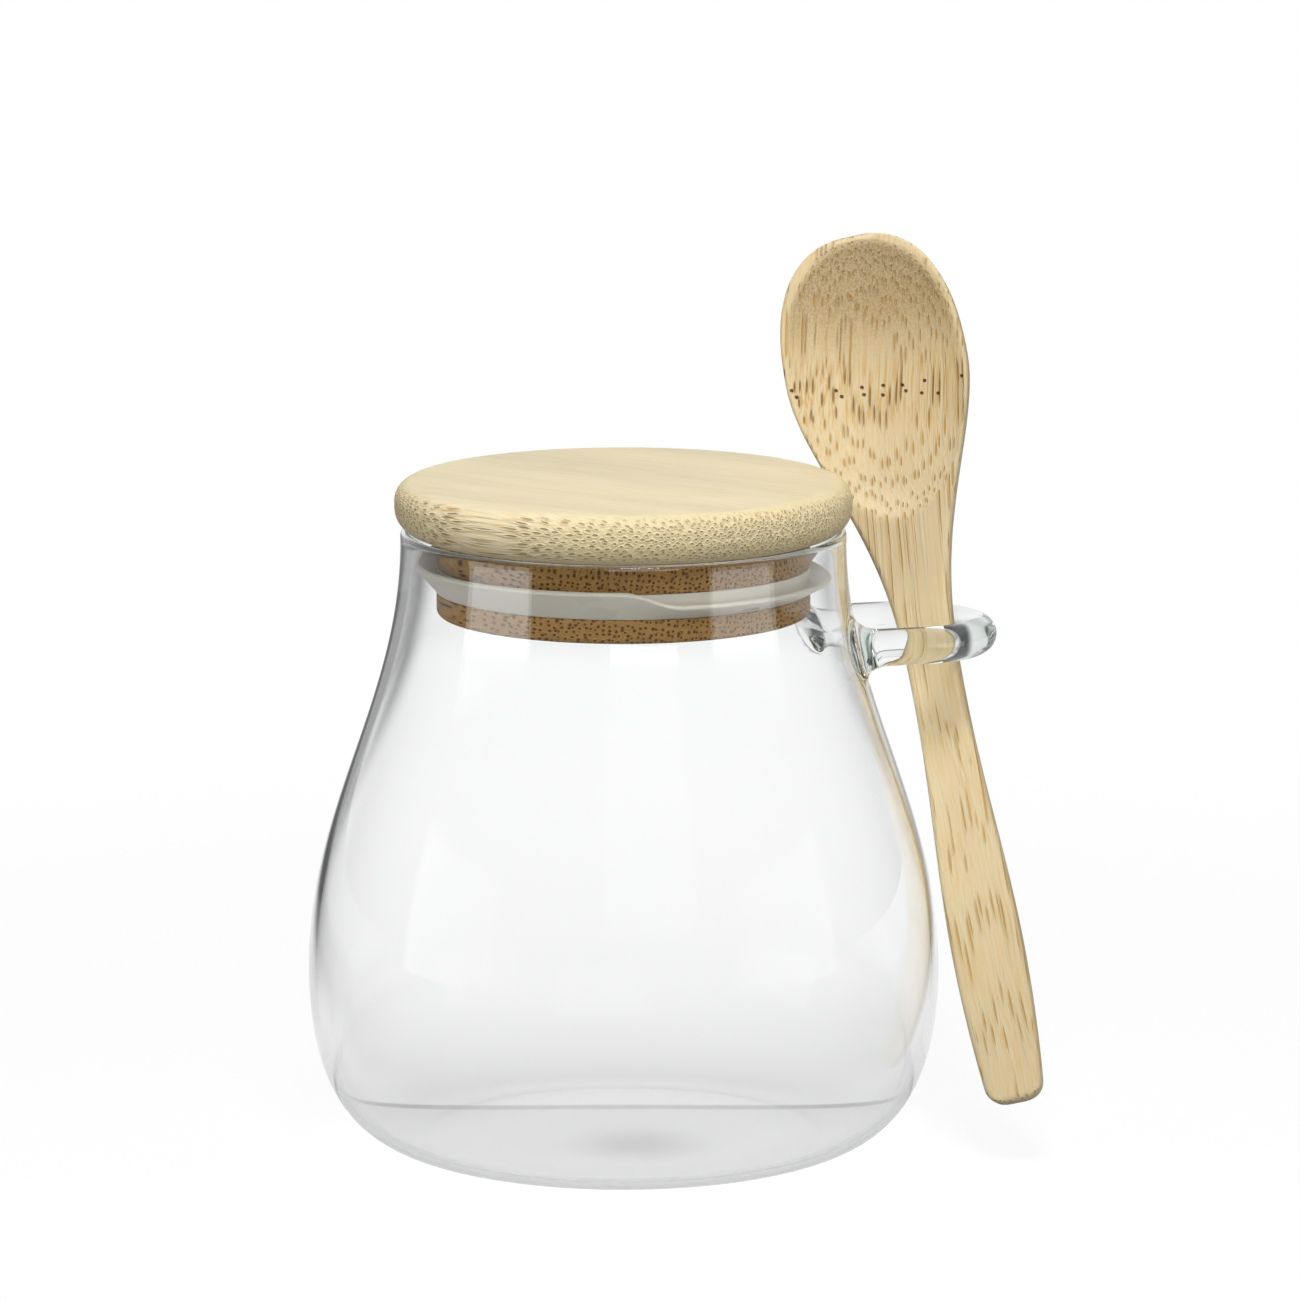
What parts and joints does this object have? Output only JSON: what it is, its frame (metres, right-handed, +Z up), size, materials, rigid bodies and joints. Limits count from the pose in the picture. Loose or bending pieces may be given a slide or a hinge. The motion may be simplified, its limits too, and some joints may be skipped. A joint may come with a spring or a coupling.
{
  "type": "jam pot",
  "caption": "Glass jam pot with a swelling belly, a bamboo push-in lid with a silicone seal, and a glass side loop that holds a bamboo spoon.",
  "frame": {"origin": "centre of the flat base that the jar stands on", "axes": "+Z up along the jar's axis, +X towards the spoon's loop"},
  "size_m": [0.1113, 0.1, 0.1407],
  "materials": {
    "glass": "clear, fire-polished",
    "lid_bamboo": "sanded, satin",
    "plug_bamboo": "sanded, satin",
    "silicone": "translucent, matt",
    "spoon_bamboo": "oiled, satin"
  },
  "bodies": {
    "jar": {"jar_body": "glass", "spoon_loop": "glass"},
    "seal": {"seal_ring": "silicone"},
    "lid": {"lid_disc": "lid_bamboo", "lid_plug": "plug_bamboo"},
    "spoon": {"spoon": "spoon_bamboo"}
  },
  "joints": [
    {"name": "lid_lift", "type": "slide", "parent": "jar", "child": "seal", "axis": [0, 0, 1], "range_m": [0, 0.06]},
    {"name": "lid_turn", "type": "hinge", "parent": "seal", "child": "lid", "pos_m": [0, 0, 0.09], "axis": [0, 0, 1], "continuous": true},
    {"name": "spoon_draw", "type": "slide", "parent": "jar", "child": "spoon", "axis": [-0.112, 0.3685, 0.9228], "range_m": [0, 0.095]}
  ]
}
